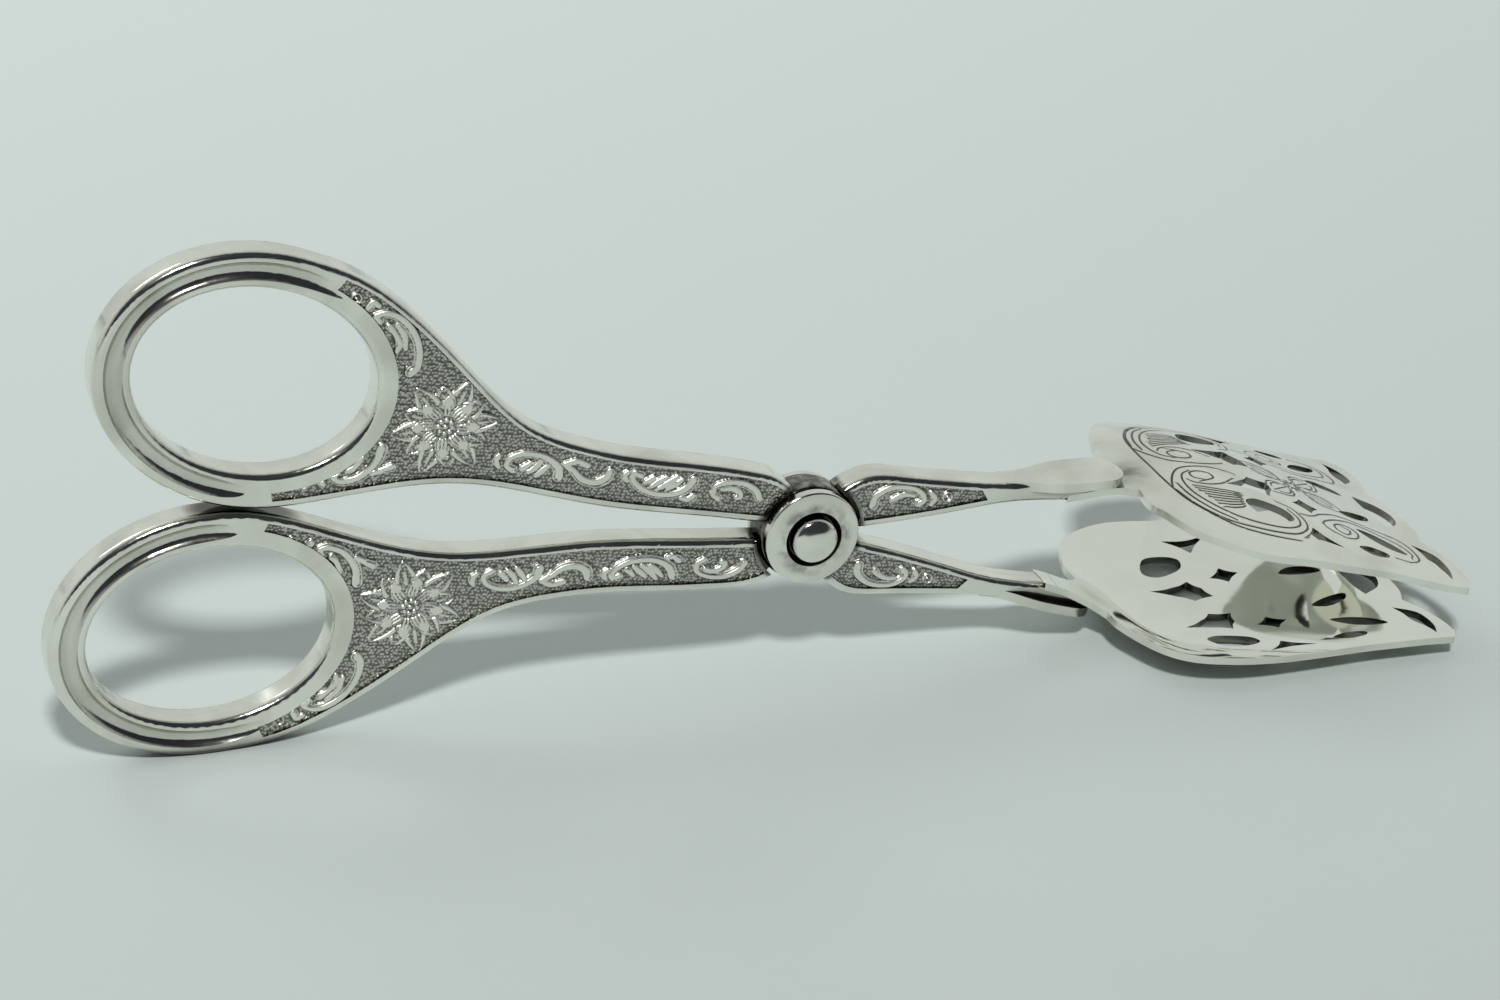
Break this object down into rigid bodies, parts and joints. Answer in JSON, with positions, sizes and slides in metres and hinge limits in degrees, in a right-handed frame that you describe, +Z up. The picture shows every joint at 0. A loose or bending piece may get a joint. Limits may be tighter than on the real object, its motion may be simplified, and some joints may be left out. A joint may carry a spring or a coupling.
{
  "type": "serving tongs",
  "caption": "Scissor-action silver serving tongs: levers with oval finger rings, a riveted lap pivot under domed caps, and wide pierced scoops that close on each other.",
  "frame": {"origin": "bottom centre of the closed tongs' bounding box, on the table they lie on, in the middle of their thickness", "axes": "+X from the finger rings towards the scoops' lip, Y along the pivot and across the scoops, +Z up; the tongs stand on edge as they are laid down, on the lower ring and the lower scoop's belly"},
  "size_m": [0.1824, 0.0406, 0.0649],
  "materials": {
    "lever_silver": "polished silver with dark patina in the struck ornament",
    "scoop_silver": "polished silver, engraved, with soft wear",
    "pivot_silver": "polished silver"
  },
  "bodies": {
    "back_body": {"back_lever": "lever_silver", "upper_scoop": "scoop_silver", "front_cap": "pivot_silver", "rear_cap": "pivot_silver", "pivot_rivet": "pivot_silver"},
    "front_body": {"front_lever": "lever_silver", "lower_scoop": "scoop_silver"}
  },
  "joints": [
    {"name": "pivot", "type": "hinge", "parent": "back_body", "child": "front_body", "pos_m": [0.00439, 0, 0.0201], "axis": [0, 1, 0], "range_deg": [0, 40]}
  ]
}
